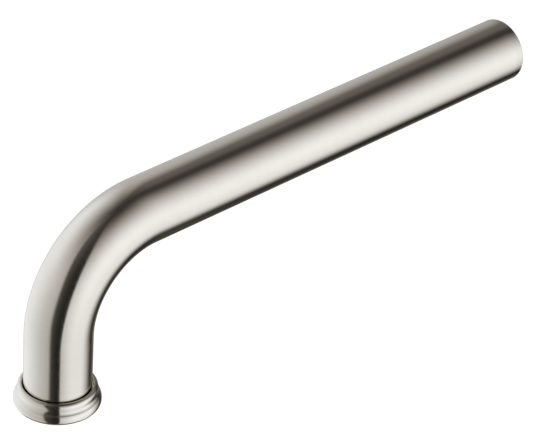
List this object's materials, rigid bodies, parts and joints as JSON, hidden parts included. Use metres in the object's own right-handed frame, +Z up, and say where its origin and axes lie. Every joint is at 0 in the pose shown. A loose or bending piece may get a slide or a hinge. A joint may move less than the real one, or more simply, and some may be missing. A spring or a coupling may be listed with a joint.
{
  "type": "wall mounted bath spout",
  "caption": "Long bent-tube bath spout with a moulded outlet collar and stream straightener, slipped over a threaded wall adapter.",
  "frame": {"origin": "centre of the tube's wall end, on the finished wall", "axes": "+Y into the wall along the straight tube, +Z up, so the spout reaches towards -Y and its outlet points down"},
  "size_m": [0.0366, 0.2773, 0.0903],
  "materials": {
    "brushed_nickel": "satin brushed nickel plate",
    "raw_brass": "turned, unplated",
    "stainless": "plain",
    "black_oxide": "black oxide on steel",
    "black_rubber": "matt",
    "grey_foam": "closed cell foam",
    "white_acetal": "moulded",
    "grey_acetal": "moulded"
  },
  "bodies": {
    "adapter": {"wall_adapter": "raw_brass"},
    "spout": {"spout_tube": "brushed_nickel", "inlet_bushing": "raw_brass", "bushing_o_ring_1": "black_rubber", "bushing_o_ring_2": "black_rubber", "outlet_nipple": "raw_brass", "wall_gasket": "grey_foam"},
    "screw": {"set_screw": "black_oxide"},
    "washer": {"outlet_washer": "black_rubber"},
    "collar": {"outlet_collar": "brushed_nickel", "insert_shell": "white_acetal", "honeycomb_grid": "grey_acetal", "mesh_screen_lower": "stainless", "screen_spacer": "white_acetal", "mesh_screen_upper": "stainless", "diffuser_disc": "white_acetal", "dome_strainer": "stainless", "retaining_ring": "stainless"}
  },
  "joints": [
    {"name": "spout_swivel", "type": "hinge", "parent": "adapter", "child": "spout", "pos_m": [0, 0, 0], "axis": [0, 1, 0], "continuous": true},
    {"name": "set_screw_travel", "type": "slide", "parent": "spout", "child": "screw", "axis": [0, 0, -1], "range_m": [0, 0.003]},
    {"name": "washer_drop", "type": "slide", "parent": "spout", "child": "washer", "axis": [0, 0, -1], "range_m": [0, 0.008]},
    {"name": "collar_turn", "type": "hinge", "parent": "washer", "child": "collar", "pos_m": [0, -0.259, -0.076], "axis": [0, 0, -1], "range_deg": [0, 2880]}
  ],
  "couplings": [
    {"joint": "washer_drop", "follows": "collar_turn", "m_per_rad": 0.00015915}
  ]
}
